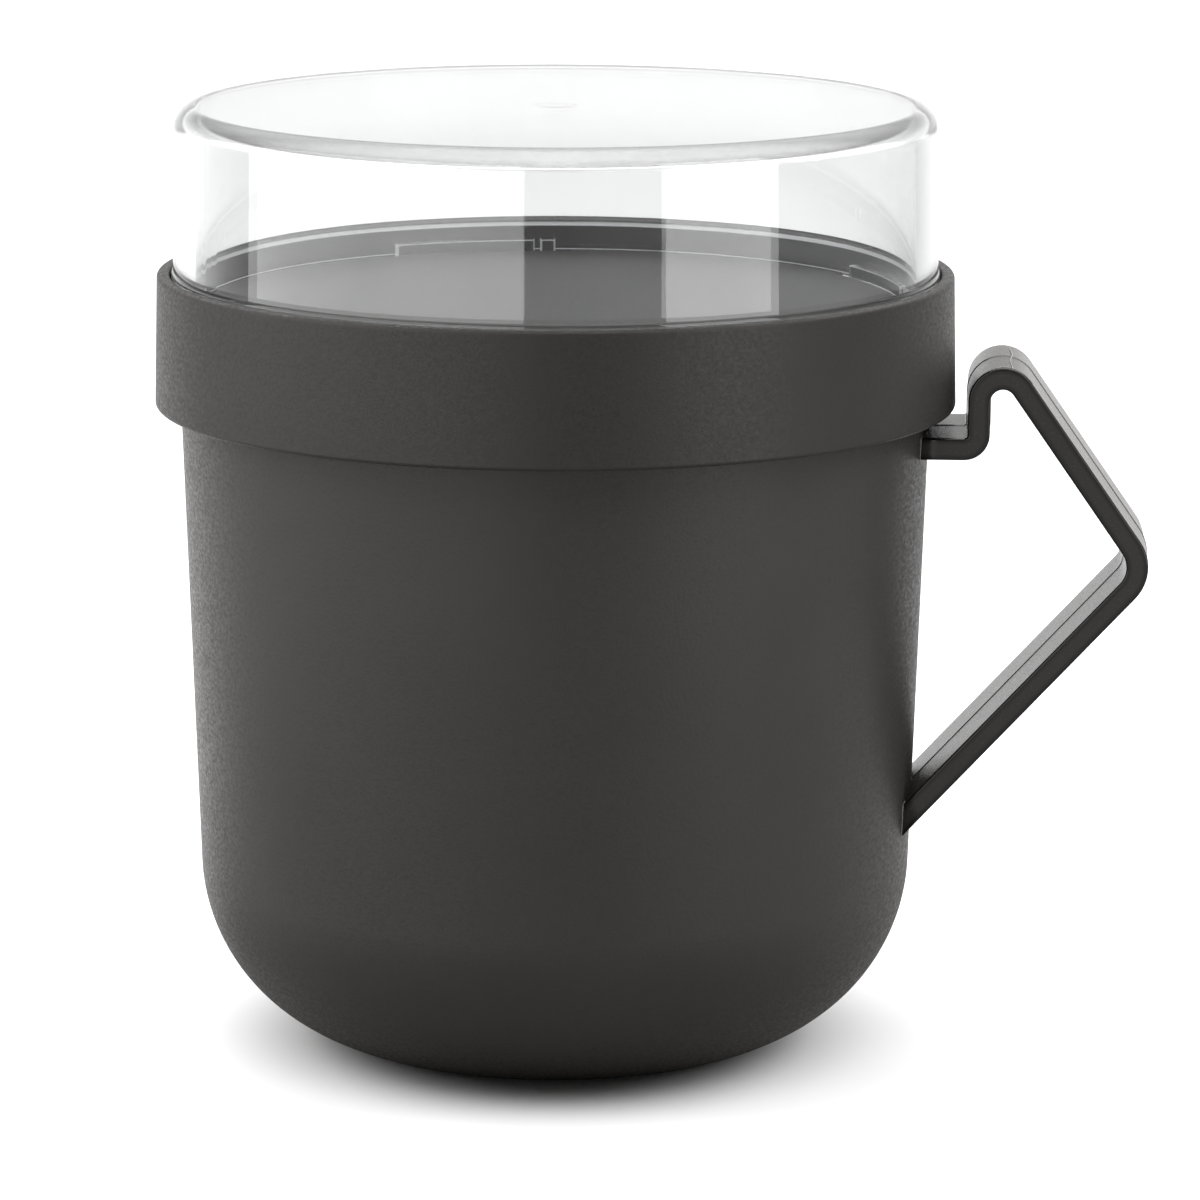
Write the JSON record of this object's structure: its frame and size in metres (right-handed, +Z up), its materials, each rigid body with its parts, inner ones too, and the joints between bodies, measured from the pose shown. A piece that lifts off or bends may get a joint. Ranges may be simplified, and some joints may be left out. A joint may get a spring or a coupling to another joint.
{
  "type": "soup mug",
  "caption": "Lidded soup mug with a leaning wall, a folded strap handle with a hook, a screw lid with a wide collar and a clear cap.",
  "frame": {"origin": "centre of the flat ring that the mug stands on, on the mug's axis", "axes": "+Z up along the mug's axis, +X towards the strap handle, +Y away from the viewer who sees the handle on the right"},
  "size_m": [0.1367, 0.11, 0.1299],
  "materials": {
    "mug_body": "fine-textured warm dark grey plastic",
    "lid_seal": "soft light grey silicone",
    "screw_lid": "fine-textured warm dark grey plastic",
    "clear_cap": "clear glossy plastic"
  },
  "bodies": {
    "mug": {"mug_body": "mug_body"},
    "seal": {"lid_seal": "lid_seal"},
    "lid": {"screw_lid": "screw_lid"},
    "cap": {"clear_cap": "clear_cap"}
  },
  "joints": [
    {"name": "lid_lift", "type": "slide", "parent": "mug", "child": "seal", "axis": [0, 0, 1], "range_m": [0, 0.02]},
    {"name": "lid_turn", "type": "hinge", "parent": "seal", "child": "lid", "pos_m": [0, 0, 0.098], "axis": [0, 0, 1], "range_deg": [0, 400]},
    {"name": "cap_lift", "type": "slide", "parent": "lid", "child": "cap", "axis": [0, 0, 1], "range_m": [0, 0.03]}
  ],
  "couplings": [
    {"joint": "lid_lift", "follows": "lid_turn", "m_per_rad": 0.0028648}
  ]
}
